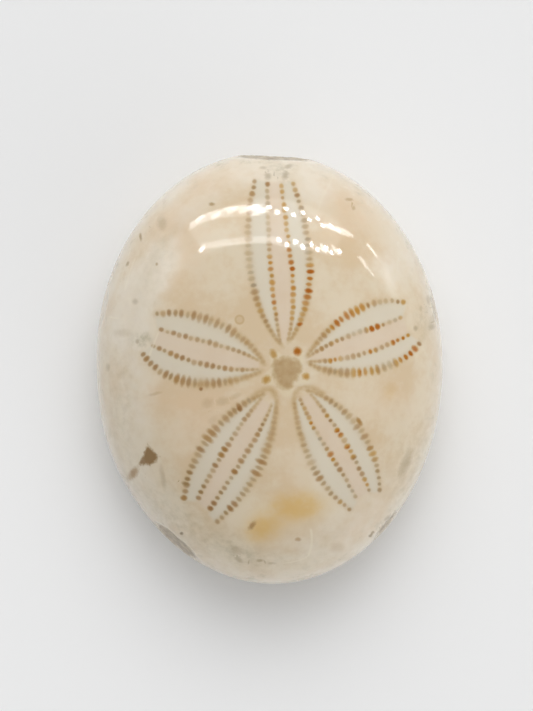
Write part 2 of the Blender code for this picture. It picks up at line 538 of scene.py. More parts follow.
def pore_fields(points):
    """The outer and inner pore rows, and each point's depth in a petal's bands and in its heart, and haze.

    A petal's bands lie between its outer and inner rows, and its heart between the two inner ones."""
    plan = points[:, :2]
    upper = points[:, 2] > GIRTH_HEIGHT
    outer = PoreRows(len(points), OUTER_REACH, OUTER_FUSED)
    inner = PoreRows(len(points), INNER_REACH, INNER_FUSED)
    band = np.full(len(points), -FAR)
    heart = band.copy()
    haze = np.zeros(len(points))
    for rows in PETALS.values():
        sides = []
        for row, field, level in zip(rows, (outer, inner, inner, outer), (1, INNER_HAZE, INNER_HAZE, 1)):
            near, aside, share, whole = measure(plan, row, ROW_MARGIN, upper)
            field.add_row(row, near, aside, share, whole)
            haze[near] = np.maximum(haze[near], level * along_haze(row, aside, share, field.fused))
            side = np.full((len(points), 3), -FAR)
            side[near] = np.stack((aside, -aside, np.minimum(share, 1 - share) * whole), axis=1)
            sides.append(side)
        for first, second in ((0, 1), (2, 3)):
            band = np.maximum(band, depth_between(sides[first], sides[second]))
        heart = np.maximum(heart, depth_between(sides[1], sides[2]))
    for loop in LOOPS:
        near, aside, share, whole = measure(plan, loop, LINE_MARGIN, upper)
        out = np.hypot(aside, past_ends(share, whole)) / LOOP_WIDTH
        haze[near] = np.maximum(haze[near], LOOP_HAZE * np.exp(-(out**2)))
    for row in underside_rows():
        inner.add_row(row, *measure(plan, row, ROW_MARGIN, ~upper))
    return outer, inner, np.stack((band, heart, haze), axis=1)


# Soft stains of the stone: middle, half-sizes, strength and turn in degrees
Stain = namedtuple("Stain", "middle size strength turn", defaults=(0,))
OCHRE_STAINS = (
    Stain((2.7, -12.4), (2.4, 1.2), 0.9, 4),
    Stain((-0.7, -14.6), (1.6, 1.2), 0.85, 10),
    Stain((1.2, -13.2), (4.6, 2.6), 0.25, 10),
    Stain((10.9, -2.3), (0.7, 0.7), 0.3),
    Stain((7.3, 10.7), (1.3, 1.6), 0.15),
    Stain((-3.6, 3.6), (2.6, 1.6), 0.12),
)
GREY_STAINS = (
    Stain((2.4, -17.6), (3.6, 1.2), 0.2),
    Stain((-10.2, 9.8), (2.4, 5.4), 0.25, -12),
    Stain((-13.6, -2.9), (1.8, 7), 0.3),
    Stain((-10.4, -12), (3.6, 4.6), 0.25, 35),
    Stain((-6.3, -15.2), (5, 2.4), 0.2, -20),
    Stain((-2.8, -16.9), (3, 1.3), 0.35, -20),
    Stain((5.8, -15.4), (2.8, 2.2), 0.18),
    Stain((13.2, -9), (2.4, 6), 0.3, -20),
    Stain((0.9, 18.4), (1.5, 0.9), 0.5),
    Stain((1.6, 16.9), (0.5, 0.8), 0.5),
    Stain((-11.5, 2.7), (0.8, 0.6), 0.8),
    Stain((14.1, 4.2), (1, 2.2), 0.42),
)
PEACH_STAINS = (
    Stain((-9.1, 13.3), (2.6, 3.6), 0.45, -20),
    Stain((-5.5, 17.5), (4.2, 1.8), 0.5, 12),
    Stain((-7.3, 10.9), (2, 4.4), 0.35),
    Stain((7, 15), (3.6, 2.4), 0.5, -25),
    Stain((8, 12.2), (2.4, 3.2), 0.25),
    Stain((-7.8, -2.6), (5, 2), 0.35),
    Stain((-6.4, -5.4), (3.6, 2.6), 0.35, 40),
    Stain((10.6, -3), (3.2, 2), 0.35),
    Stain((8, -14.8), (2.6, 1.8), 0.5, 20),
    Stain((2.2, -8.5), (1.8, 3), 0.25, 10),
)
PALE_STAINS = (
    Stain((3, -15.4), (9, 4.5), 0.45),
    Stain((9.6, -11), (4, 5), 0.3, -20),
    Stain((0.6, 17.9), (5, 2.4), 0.7),
    Stain((-12.4, -2), (2.6, 9), 0.55),
    Stain((-12.8, 6), (2.4, 5), 0.4, -20),
    Stain((-10.4, -13), (3, 4), 0.4, 35),
    Stain((-12.2, 6.2), (0.8, 1.1), 0.9, 20),
    Stain((-12.9, 3.2), (1.6, 1), 0.7),
    Stain((-10.5, 8.8), (1.6, 3.6), 1, -29),
    Stain((-9, 16.4), (2, 0.7), 0.7, 40),
    Stain((-6.5, 15.2), (3, 1.6), 0.5, 30),
    Stain((11.4, 9.6), (2.4, 2.6), 0.6),
    Stain((4.6, 15.8), (2, 2.2), 0.4),
    Stain((4.8, -9.4), (1.4, 3.2), 0.3, 20),
)
STAIN_MOST = 1.2  # where stains of a kind overlap

# Small marks are drawn only above this height
MARKS_FOOT = GIRTH_HEIGHT - 2


def own_place(points, mark):
    """Each point's place along a stain's or spot's own two axes, in its half-sizes."""
    turn = math.radians(mark.turn)
    across, along = (points[:, :2] - mark.middle).T
    first = (across * math.cos(turn) + along * math.sin(turn)) / mark.size[0]
    second = (along * math.cos(turn) - across * math.sin(turn)) / mark.size[1]
    return first, second


def stain_amount(points, stains):
    """How much of one kind of stain lies at each point."""
    amount = np.zeros(len(points))
    for stain in stains:
        first, second = own_place(points, stain)
        amount += stain.strength * np.exp(-(first**2 + second**2))
    return np.clip(amount, 0, STAIN_MOST)


# Painted reflection and painted light: the colour pales towards the rim between these heights, for the pale
# floor mirrored there and light let through the stone. The same share lets grey and white clouds show on the
# rim.
RIM_TOP = 11.5
RIM_FOOT = 6.5


def rim_reflection_and_cloud_share(points):
    share = np.clip((RIM_TOP - points[:, 2]) / (RIM_TOP - RIM_FOOT), 0, 1)
    return share * share * (3 - 2 * share)


# Small spots with an edge: middle, half-sizes, strength, warmth and turn in degrees
Spot = namedtuple("Spot", "middle size strength warmth turn", defaults=(0,))
SPOTS = (
    Spot((0.35, 1.4), (0.27, 0.42), 0.75, 0.7, 25),
    Spot((2.5, 1.65), (0.33, 0.35), 1, 0.97),
    Spot((3.27, -0.62), (0.33, 0.28), 0.8, 0.78, -15),
    Spot((-0.3, -0.9), (0.38, 0.32), 0.8, 0.72, 35),
    Spot((-12.58, -9.6), (0.34, 0.66), 0.72, 0.42, -40),
    Spot((-1.6, -14.2), (0.22, 0.44), 0.6, 0.45, -35),
    Spot((2.6, -15.5), (0.26, 0.18), 0.45, 0.45),
    Spot((-6.2, -1.75), (0.16, 0.16), 0.8, 0.5),
    Spot((-2.72, -3.55), (0.24, 0.19), 1, 0.5, -40),
    Spot((-7.6, -10.4), (0.34, 0.17), 1, 0.3, -15),
    Spot((8.1, -4.7), (0.18, 0.36), 0.85, 0.6, 35),
    Spot((2.72, 4.1), (0.21, 0.17), 0.9, 1, 20),
    Spot((-11.9, 12.2), (0.12, 0.34), 0.6, 0.2, 8),
    Spot((-13.1, 9.7), (0.14, 0.24), 0.5, 0.15, -30),
    Spot((-10.3, 9.6), (0.12, 0.14), 0.5, 0.25),
    Spot((-5.3, 15.1), (0.26, 0.16), 0.65, 0.3),
    Spot((7.3, 15.6), (0.34, 0.16), 0.4, 0.35),
    Spot((7.7, 14.8), (0.16, 0.2), 0.35, 0.35),
    Spot((-8.1, -15.1), (0.16, 0.14), 0.8, 0.05),
    Spot((9.3, -15.4), (0.16, 0.14), 0.7, 0.1),
    Spot((9.55, -15.05), (0.13, 0.12), 0.55, 0.1),
    Spot((-9.9, 13.4), (0.42, 0.6), 0.22, 0.12),
    Spot((-3, -16.6), (0.55, 0.42), 0.22, 0.12, -25),
    Spot((-2.85, -17.45), (0.42, 0.24), 0.34, 0.12, -35),
    Spot((-0.9, -17.55), (0.3, 0.14), 0.4, 0.15),
    Spot((0.2, -17.8), (0.36, 0.12), 0.25, 0.12),
    Spot((12.45, -8.7), (0.42, 1.3), 0.3, 0.12, -22),
    Spot((-9.75, -9.8), (0.22, 0.95), 0.2, 0.12, 10),
    Spot((6.2, -16.4), (0.6, 0.5), 0.16, 0.35),
    Spot((-5.6, -3), (0.5, 0.42), 0.2, 0.4, 20),
    Spot((-4.25, -2.85), (0.55, 0.36), 0.22, 0.4, 10),
    Spot((-3.1, -2.4), (0.5, 0.22), 0.18, 0.4, 25),
    Spot((-5.2, -4.6), (0.45, 0.3), 0.12, 0.4, 40),
    Spot((-10.4, -2.2), (0.6, 0.14), 0.22, 0.35, 15),
    Spot((14.7, 6.4), (0.22, 0.4), 0.3, 0.05, 10),
    Spot((14.95, 3.9), (0.34, 0.26), 0.34, 0.05, 30),
    Spot((15.2, 4.9), (0.18, 0.4), 0.24, 0.05),
    Spot((13.35, 3.75), (0.2, 0.22), 0.34, 0.05),
    Spot((13.9, 5.6), (0.16, 0.24), 0.2, 0.05),
    Spot((-0.15, 17.7), (0.3, 0.3), 0.34, 0.05),
    Spot((1.45, 17.85), (0.26, 0.44), 0.36, 0.05, -15),
    Spot((1.75, 18.7), (0.34, 0.2), 0.3, 0.05, 20),
    Spot((-0.6, 18.55), (0.3, 0.14), 0.22, 0.05),
    Spot((1.9, 18.3), (0.09, 0.12), 0.45, 0.05),
    Spot((-12.05, 2.55), (0.17, 0.2), 0.36, 0.1),
    Spot((-14.9, 0.2), (0.2, 0.34), 0.3, 0.1),
    Spot((-13.5, 3.35), (0.8, 0.35), 0.14, 0.2),
    Spot((-12.3, 6.2), (0.26, 0.26), 0.24, 0.05),
    Spot((10.9, -13.8), (0.34, 0.2), 0.34, 0.05, 40),
    Spot((11, -1.7), (0.55, 0.5), 0.12, 0.8),
)
SPOT_REACH = 0.6


def spot_fields(points):
    """Each point's place in its nearest spot and above 0 where that may show, and the spot's look."""
    field = Nearest(len(points), (0, 0, 0, 0, 0, 0))
    everywhere = np.arange(len(points))
    for spot in SPOTS:
        distance = np.hypot(*(points[:, :2] - spot.middle).T) - max(spot.size)
        field.add(everywhere, distance, (*own_place(points, spot), 0, spot.strength, spot.warmth, 0))
    shown = np.minimum(SPOT_REACH - field.distance, field.clearance())
    field.values[:, 2] = np.where(points[:, 2] > MARKS_FOOT, shown, -FAR)
    return np.split(field.values, 2, axis=1)


# Fine lines: the same four corners as a row, half-width, and strength, which is below 0 for a dark one
Line = namedtuple("Line", "base bend_out bend_in tip half_width strength")
LINES = (
    Line((5.95, 18.2), (5.75, 17), (4.95, 16.6), (4.45, 14.6), 0.12, 0.28),
    Line((-10.1, 3.35), (-10.4, 2.6), (-10.7, 1.9), (-10.9, 1.3), 0.09, 0.62),
    Line((-14.75, 4.85), (-14.5, 4.75), (-14.2, 4.7), (-13.95, 4.7), 0.08, 0.8),
    Line((3.75, -14.6), (3.95, -15.5), (3.85, -16.3), (3.55, -17.1), 0.11, 0.8),
    Line((3.55, -17.1), (2.9, -17.6), (2.1, -17.7), (1.3, -17.8), 0.07, 0.55),
    Line((-12.35, 10.2), (-12.75, 9.3), (-13.05, 8.4), (-13.25, 7.3), 0.07, 0.5),
    Line((-12.8, 11), (-13.2, 10), (-13.5, 9), (-13.7, 7.9), 0.05, 0.35),
    Line((-13.6, -1), (-13.9, -4), (-13.6, -7), (-12.9, -10), 0.22, 0.22),
    Line((-14.9, 1), (-15.2, -2), (-15, -5), (-14.3, -8.5), 0.22, 0.25),
    Line((5.7, -19), (6.2, -19.05), (6.7, -18.8), (7.3, -18.55), 0.06, -0.9),
)
LINE_REACH = 0.5
LINE_SPARE = 0.2  # a line fades out this far past its ends


def line_field(points):
    """Each point's distance aside of its nearest fine line, in half-widths, how near it is, and strength."""
    field = Nearest(len(points), (0, -FAR, 0))
    for line in LINES:
        near, aside, share, whole = measure(points[:, :2], line, LINE_MARGIN)
        past = past_ends(share, whole)
        distance = np.hypot(aside, past)
        inside = np.minimum(LINE_REACH - distance, LINE_SPARE - past)
        field.add(near, distance, (aside / line.half_width, inside, line.strength))
    field.values[points[:, 2] < MARKS_FOOT, 1] = -FAR
    return field.values


# The crown at the top: a soft brown patch of overlapping rounds inside a pale star
CROWN_MIDDLE = (1.50, -0.30)
Round = namedtuple("Round", "middle radius")
CROWN_ROUNDS = (
    Round((1.50, -0.15), 1.12),
    Round((1.00, 0.25), 0.62),
    Round((2.05, 0.30), 0.62),
    Round((1.45, -1.20), 0.58),
)
CROWN_BLEND = 0.35  # how far the rounds flow into each other
STAR_RADIUS = 1.95
STAR_POINTS = 0.18

# A brown, nearly three-cornered patch on the rear left, and a ring left by a lost spine
WEDGE = ((-11.15, -6.80), (-12.20, -8.95), (-10.55, -8.68), (-9.98, -7.95))
RING = Round((-2.72, 4.50), 0.36)


def depth_in(points, part):
    """How deep each point lies in a round."""
    return part.radius - np.hypot(*(points[:, :2] - part.middle).T)


def crown_field(points):
    """How deep each point lies in the crown's patch, in the pale star round it and in the ring."""
    across, along = (points[:, :2] - CROWN_MIDDLE).T
    azimuth = np.arctan2(along, across)
    depths = [np.clip(depth_in(points, part), -FAR, FAR) for part in CROWN_ROUNDS]
    patch = CROWN_BLEND * np.log(sum(np.exp(depth / CROWN_BLEND) for depth in depths))
    star = STAR_RADIUS * (1 + STAR_POINTS * np.cos(5 * azimuth + math.pi / 2)) - np.hypot(across, along)
    field = np.stack((patch, star, depth_in(points, RING)), axis=1)
    field[points[:, 2] < GIRTH_HEIGHT] = -FAR
    return field


def wedge_depth(points):
    """How deep each point lies in the brown patch, whose corners run anticlockwise."""
    depth = np.full(len(points), FAR)
    corners = [np.array(corner) for corner in WEDGE]
    for first, second in zip(corners, corners[1:] + corners[:1]):
        way = (second - first) / np.linalg.norm(second - first)
        gap = points[:, :2] - first
        depth = np.minimum(depth, way[0] * gap[:, 1] - way[1] * gap[:, 0])
    return np.where(points[:, 2] > MARKS_FOOT, depth, -FAR)


def add_fields(mesh, fields):
    for name, values in fields.items():
        layer = mesh.attributes.new(name, "FLOAT_VECTOR", "POINT")
        layer.data.foreach_set("vector", np.ascontiguousarray(values, dtype=np.float32).ravel())


# ---------------------------------------------------------------- material


GAMMA = 2.2

# A noise: how fine it is, its octaves, their roughness, and what its 0 and 1 become
Noise = namedtuple("Noise", "scale detail roughness low high", defaults=(0.5, 0.0, 1.0))

# A colour laid over the stone: where its mask starts and is full, how much then shows, and whether it dyes
Layer = namedtuple("Layer", "colour start full most dyes", defaults=(1.0, False))


def add_node(tree, kind, inputs, output=0, **settings):
    """A new node's output. An input is a number, a tuple or the output of an earlier node."""
    node = tree.nodes.new(kind)
    for name, value in settings.items():
        setattr(node, name, value)
    for socket, value in inputs.items():
        feed(node.inputs[socket], value)
    return node.outputs[output]


# Each of these adds nodes to the tree of the outputs that it is given


def feed(socket, value):
    if isinstance(value, bpy.types.NodeSocket):
        socket.id_data.links.new(value, socket)
    else:
        socket.default_value = value


def calculate(operation, first, second=0.0):
    return add_node(first.id_data, "ShaderNodeMath", {0: first, 1: second}, operation=operation)


def plus(first, second):
    return calculate("ADD", first, second)


def times(product, *others):
    for other in others:
        product = calculate("MULTIPLY", product, other)
    return product


def from_middle(first, second):
    """Of a place from the middle, by its two parts."""
    return calculate("SQRT", plus(times(first, first), times(second, second)))


def spread(value, low, high):
    """Turns 0 to 1 into low to high."""
    return add_node(value.id_data, "ShaderNodeMapRange", {0: value, 1: 0.0, 2: 1.0, 3: low, 4: high})


def between(value, low, high):
    """0 at low and 1 at high, with soft ends. Low may be the larger."""
    inputs = {0: value, 1: low, 2: high, 3: 0.0, 4: 1.0}
    return add_node(value.id_data, "ShaderNodeMapRange", inputs, interpolation_type="SMOOTHSTEP")


def mix(share, first, second):
    inputs = {0: share, 6: first, 7: second}
    return add_node(share.id_data, "ShaderNodeMix", inputs, output=2, data_type="RGBA")


def dye(share, first, second):
    """Mixes two colours as they look on screen, which keeps a half-strong dye vivid."""
    tree = share.id_data
    seen = [add_node(tree, "ShaderNodeGamma", {0: colour, 1: 1 / GAMMA}) for colour in (first, second)]
    return add_node(tree, "ShaderNodeGamma", {0: mix(share, *seen), 1: GAMMA})


def lay(under, layer, mask, *shares):
    """Lays a layer over a colour by its mask, thinned by further shares."""
    share = times(between(mask, layer.start, layer.full), layer.most, *shares)
    return (dye if layer.dyes else mix)(share, under, layer.colour)


def mottle(place, kind):
    inputs = {"Vector": place, "Scale": kind.scale, "Detail": kind.detail, "Roughness": kind.roughness}
    return spread(add_node(place.id_data, "ShaderNodeTexNoise", inputs), kind.low, kind.high)


def parts(vector):
    """The three numbers of a vector."""
    node = vector.id_data.nodes.new("ShaderNodeSeparateXYZ")
    feed(node.inputs[0], vector)
    return tuple(node.outputs)


def read_field(output, name):
    """The three numbers of one of the mesh's fields, in the tree of an output."""
    return parts(add_node(output.id_data, "ShaderNodeAttribute", {}, output="Vector", attribute_name=name))


def chances(number):
    """Three random values for a whole number."""
    settings = {"output": "Color", "noise_dimensions": "1D"}
    return parts(add_node(number.id_data, "ShaderNodeTexWhiteNoise", {"W": number}, **settings))


def ramp(value):
    """A tone of the markings, from 0 to 1."""
    node = value.id_data.nodes.new("ShaderNodeValToRGB")
    elements = node.color_ramp.elements
    while len(elements) < len(MARKING_STOPS):
        elements.new(1.0)
    for element, (position, colour) in zip(elements, MARKING_STOPS):
        element.position = position
        element.color = colour
    feed(node.inputs[0], value)
    return node.outputs[0]


# The stone: colours as they look on screen under the scene's light, noises, and the stains' layers
PALE_CREAM = linear(221, 207, 182)
PALE_STONE = linear(230, 221, 205)
STONE_GREY = linear(180, 171, 144)
PEACH = linear(223, 196, 164)
PEACH_MOST = 0.8
# How far the painted rim reflection pales the stone
RIM_REFLECTION_MOST = 0.8
WARM_PATCHES = Layer(linear(214, 193, 161), 0.35, 0.65)
PALE_PATCHES = Layer(PALE_STONE, 0.1, 0.8, 0.75)
GREY_CLOUDS = Layer(STONE_GREY, 0.54, 0.70, 0.55)
WHITE_CLOUDS = Layer(linear(236, 228, 212), 0.46, 0.32, 0.60)
GREY_SPECKS = Layer(STONE_GREY, 0.0, 1.1, 0.7)
RUST = Layer(linear(214, 172, 96), 0.0, 1.1, 0.66, True)
BROAD_MOTTLE = Noise(0.22, 3.0)
FINE_MOTTLE = Noise(1.3, 4.0, 0.6, -0.175, 0.175)
STAIN_NOISE = Noise(0.7, 4.0, 0.55, 0.3, 1.7)
CLOUD_NOISE = Noise(0.75, 5.0, 0.65)
SPECK_NOISE = Noise(1.3, 5.0, 0.65, -1.0, 3.0)

# The petals
BAND = Layer(linear(216, 207, 188), -0.15, 0.3, 0.85)
HEART = Layer(linear(218, 200, 179), -0.15, 0.3, 0.65)
HAZE = linear(184, 153, 106)
HAZE_MOST = 0.72
HAZE_NOISE = Noise(1.8, 4.0, 0.6, 0.15, 1.85)

# Pores and spots share a ramp of tones. The pairs are the least and most of what varies from pore to pore:
# along its row in pitches, aside, its size, strength and warmth.
MARKING_STOPS = (
    (0.0, linear(132, 118, 94)),
    (0.3, linear(158, 130, 88)),
    (0.5, linear(150, 110, 66)),
    (0.72, linear(178, 134, 62)),
    (0.86, linear(184, 130, 50)),
    (1.0, linear(166, 92, 20)),
)
PORE_HALF_WIDTH = 0.21
PORE_ALONG = (-0.57, -0.43)
PORE_ASIDE = (-0.05, 0.05)
PORE_SIZES = (0.72, 1.14)
PORE_STRENGTHS = (0.60, 1.25)
PORE_WARMTHS = (-0.20, 0.14)
PORE_FADE = (1.45, 0.40)
PORE_MOST = 0.92
PORE_NOISE = Noise(3.5, 1.0, 0.5, -0.22, 0.22)
SPOT_FADE = (1.6, 0.3)
SPOT_NOISE = Noise(4.0, 2.0, 0.5, -0.35, 0.35)

# The crown and the marks
STAR = Layer(linear(222, 208, 178), -0.1, 0.3, 0.55)
CROWN = Layer(linear(177, 147, 103), -0.2, 0.4, 1.0, True)
CROWN_EDGE = Noise(1.6, 2.0, 0.5, -0.35, 0.35)
CROWN_MOTTLE = Noise(1.5, 3.0, 0.5, 0.45, 1.1)
RING_TAN = linear(192, 162, 118)
RING_INSIDE = Layer(RING_TAN, -0.2, 0.2, 0.35)
RING_HOOP = Layer(RING_TAN, 0.16, 0.02, 0.6)
BROWN_WEDGE = Layer(linear(136, 104, 62), -0.14, 0.22, 0.85, True)
WEDGE_EDGE = Noise(2.5, 4.0, 0.6, -0.35, 0.25)
WORN_DARK = linear(154, 141, 124)
PALE_LINE = Layer(linear(232, 222, 200), 1.6, 0.2)
DARK_LINE = Layer(WORN_DARK, 1.6, 0.2)
LINE_FADE = (0.0, 0.3)

# The worn flats and the pits
WORN = linear(194, 182, 162)
WORN_CRUMBS = Layer(WORN, -0.16, 0.0)
CRUMB_FADE = (0.56, 0.66)
CRUMB_NOISE = Noise(2.4, 4.0, 0.65)
WORN_FADE = (-0.02, 0.07)
WORN_EDGE = Noise(1.1, 5.0, 0.65, -0.16, 0.12)
BLOTCHES = Layer(WORN, 0.35, 0.65)
BLOTCH_NOISE = Noise(1.5, 5.0, 0.6)
MATRIX = linear(150, 138, 118)
MATRIX_NOISE = Noise(3.0, 4.0, 0.7)
PIT_FADE = (0.02, 0.2)

# Finish: roughness of the polish and of worn stone, the bump of what is worn, the light let into the stone
ROUGHNESS = (0.055, 0.8)
BUMP_NOISE = Noise(9.0, 3.0, 0.6)
BUMP_STRENGTH = 0.5
BUMP_HEIGHT = 0.08
REFRACTION = 1.5
DEEP_SHARE = 0.3
DEEP_REACH = 3.0
DEEP_RADIUS = (1.0, 0.8, 0.6)


def stone_colour(place):
    """Cream with soft mottling and the stains, paled towards the rim by a painted reflection of the floor
    and painted light through the stone.
    """
    ochre, grey, peach = read_field(place, "stains")
    pale, rim, _ = read_field(place, "veils")
    uneven = mottle(place, STAIN_NOISE)
    clouds = mottle(place, CLOUD_NOISE)
    warmth = plus(mottle(place, BROAD_MOTTLE), mottle(place, FINE_MOTTLE))
    colour = lay(PALE_CREAM, WARM_PATCHES, warmth)
    colour = mix(times(peach, uneven, PEACH_MOST), colour, PEACH)
    colour = lay(colour, PALE_PATCHES, times(pale, uneven))
    # Painted reflection: paler towards the rim, for the floor mirrored there and light let through the stone
    colour = mix(times(rim, uneven, RIM_REFLECTION_MOST), colour, PALE_STONE)
    colour = lay(colour, GREY_CLOUDS, clouds, rim)
    colour = lay(colour, WHITE_CLOUDS, clouds, rim)
    colour = lay(colour, GREY_SPECKS, times(grey, mottle(place, SPECK_NOISE)))
    return lay(colour, RUST, times(ochre, uneven))


def petal_colour(place, colour):
    """Paler bands and hearts, and the tan haze along the rows."""
    band, heart, haze = read_field(place, "petal")
    colour = lay(colour, BAND, band)
    colour = lay(colour, HEART, heart)
    return dye(times(haze, mottle(place, HAZE_NOISE), HAZE_MOST), colour, HAZE)


def pore_colour(place, name, colour):
    """One dot or slit for each whole number along a row."""
    aside, count, inside = read_field(place, name + "_place")
    half_length, strength, warmth = read_field(place, name + "_look")
    first, second, third = chances(calculate("FLOOR", count))
    along = plus(calculate("FRACT", count), spread(third, *PORE_ALONG))
    along = times(along, SIDE_PITCH / PORE_HALF_WIDTH)
    across = calculate("DIVIDE", plus(aside, spread(first, *PORE_ASIDE)), half_length)
    out = calculate("DIVIDE", from_middle(along, across), spread(second, *PORE_SIZES))
    out = plus(out, mottle(place, PORE_NOISE))
    strength = times(strength, spread(first, *PORE_STRENGTHS), PORE_MOST)
    shown = times(between(out, *PORE_FADE), strength, calculate("GREATER_THAN", inside))
    tone = ramp(plus(warmth, spread(second, *PORE_WARMTHS)))
    return dye(shown, colour, tone)


def crown_colour(place, colour):
    patch, star, ring = read_field(place, "crown")
    patch = plus(patch, mottle(place, CROWN_EDGE))
    colour = lay(colour, STAR, star)
    colour = lay(colour, CROWN, patch, mottle(place, CROWN_MOTTLE))
    colour = lay(colour, RING_INSIDE, ring)
    return lay(colour, RING_HOOP, calculate("ABSOLUTE", ring))


def spot_colour(place, colour):
    first, second, near = read_field(place, "spot_place")
    strength, warmth, _ = read_field(place, "spot_look")
    out = plus(from_middle(first, second), mottle(place, SPOT_NOISE))
    shown = times(between(out, *SPOT_FADE), strength, calculate("GREATER_THAN", near))
    return dye(shown, colour, ramp(warmth))


def line_colour(colour):
    """Pale lines where the strength is above 0, dark ones where it is below."""
    aside, near, strength = read_field(colour, "line")
    shown = between(near, *LINE_FADE)
    pale = calculate("MAXIMUM", strength)
    dark = calculate("MAXIMUM", times(strength, -1.0))
    colour = lay(colour, PALE_LINE, calculate("ABSOLUTE", aside), shown, pale)
    return lay(colour, DARK_LINE, calculate("ABSOLUTE", aside), shown, dark)


def worn_colour(place, colour):
    """The ground flats, with crumbs round them, and the matrix in the pits. Also gives how rough it is."""
    excess, pit, _ = read_field(place, "wear")
    _, _, dullness = read_field(place, "veils")
    crumbs = between(mottle(place, CRUMB_NOISE), *CRUMB_FADE)
    colour = lay(colour, WORN_CRUMBS, excess, crumbs, dullness)
    edge = plus(excess, mottle(place, WORN_EDGE))
    worn = times(between(edge, *WORN_FADE), dullness)
    colour = mix(worn, colour, lay(WORN_DARK, BLOTCHES, mottle(place, BLOTCH_NOISE)))
    sunk = between(pit, *PIT_FADE)
    colour = mix(sunk, colour, mix(mottle(place, MATRIX_NOISE), WORN_DARK, MATRIX))
    return colour, calculate("MAXIMUM", worn, sunk)


def new_material(name):
    """A material and its shader."""
    material = bpy.data.materials.new(name)
    material.use_nodes = True
    return material, material.node_tree.nodes["Principled BSDF"]


def make_stone():
    stone, shader = new_material(SLOT)
    point = add_node(stone.node_tree, "ShaderNodeTexCoord", {}, output="Object")
    place = add_node(stone.node_tree, "ShaderNodeVectorMath", {0: point, 3: 1 / MM}, operation="SCALE")
    _, _, wedge = read_field(place, "wear")
    colour = petal_colour(place, stone_colour(place))
    colour = pore_colour(place, "outer", colour)
    colour = pore_colour(place, "inner", colour)
    colour = crown_colour(place, colour)
    colour = lay(colour, BROWN_WEDGE, plus(wedge, mottle(place, WEDGE_EDGE)))
    colour = line_colour(spot_colour(place, colour))
    colour, rough = worn_colour(place, colour)
    bump = {
        "Strength": times(rough, BUMP_STRENGTH),
        "Distance": metres(BUMP_HEIGHT),
        "Height": mottle(place, BUMP_NOISE),
    }
    feed(shader.inputs["Base Color"], colour)
    feed(shader.inputs["Roughness"], spread(rough, *ROUGHNESS))
    feed(shader.inputs["Normal"], add_node(stone.node_tree, "ShaderNodeBump", bump))
    shader.inputs["IOR"].default_value = REFRACTION
    shader.inputs["Subsurface Weight"].default_value = DEEP_SHARE
    shader.inputs["Subsurface Radius"].default_value = DEEP_RADIUS
    shader.inputs["Subsurface Scale"].default_value = metres(DEEP_REACH)
    return stone


def make_test():
    rises, lengths = ring_rises()
    points, excess, dullness = wear(wave(ring_points(rises)))
    points, sunk = sink_pits(points)
    points = fit_to_solid(points)
    mesh = make_mesh(points, len(rises))
    add_map(mesh, lengths)
    outer, inner, petal = pore_fields(points)
    outer_place, outer_look = outer.fields()
    inner_place, inner_look = inner.fields()
    spot_place, spot_look = spot_fields(points)
    stains = [stain_amount(points, group) for group in (OCHRE_STAINS, GREY_STAINS, PEACH_STAINS)]
    pale = stain_amount(points, PALE_STAINS)
    fields = {
        "outer_place": outer_place,
        "outer_look": outer_look,
        "inner_place": inner_place,
        "inner_look": inner_look,
        "petal": petal,
        "stains": np.stack(stains, axis=1),
        # Pale stains, the share of painted rim reflection that also lets the rim's clouds show, and each
        # facet's dullness
        "veils": np.stack((pale, rim_reflection_and_cloud_share(points), dullness), axis=1),
        "spot_place": spot_place,
        "spot_look": spot_look,
        "line": line_field(points),
        "crown": crown_field(points),
        "wear": np.stack((excess, sunk, wedge_depth(points)), axis=1),
    }
    add_fields(mesh, fields)
    mesh.materials.append(make_stone())
    return add_object(PIECE, mesh)


# ---------------------------------------------------------------- floor, light and camera

FLOOR_SIZE = 4000
FLOOR_COLOUR = (0.875, 0.878, 0.880, 1.0)
FLOOR_ROUGHNESS = 0.9

# Radiance of the room: even light, a broad glow from the front, a low fill from the rear right, what the
# polish mirrors and what the camera sees behind the floor
EVEN = 0.44
Lobe = namedtuple("Lobe", "radiance azimuth elevation power")
GLOW = Lobe(3.40, math.radians(86), math.radians(48), 10)
FILL = Lobe(1.65, math.radians(315), 0.0, 6)
MIRRORED = 0.30
BACKDROP = 0.80
WHITE = (1.0, 1.0, 1.0, 1.0)


def make_floor():
    half = metres(FLOOR_SIZE / 2)
    corners = [(-half, -half, 0), (half, -half, 0), (half, half, 0), (-half, half, 0)]
    mesh = bpy.data.meshes.new("floor")
    mesh.from_pydata(corners, [], [(0, 1, 2, 3)])
    board, shader = new_material("pale_board")
    shader.inputs["Base Color"].default_value = FLOOR_COLOUR
    shader.inputs["Roughness"].default_value = FLOOR_ROUGHNESS
    mesh.materials.append(board)
    return add_object("floor", mesh)


def add_lobe(way, lobe):
    """Light that comes from round one way, more closely so for a higher power."""
    flat = math.cos(lobe.elevation)
    middle = (flat * math.cos(lobe.azimuth), flat * math.sin(lobe.azimuth), math.sin(lobe.elevation))
    settings = {"output": "Value", "operation": "DOT_PRODUCT"}
    towards = add_node(way.id_data, "ShaderNodeVectorMath", {0: way, 1: middle}, **settings)
    closeness = calculate("POWER", calculate("MAXIMUM", towards, 0.0), lobe.power)
    return times(closeness, lobe.radiance)


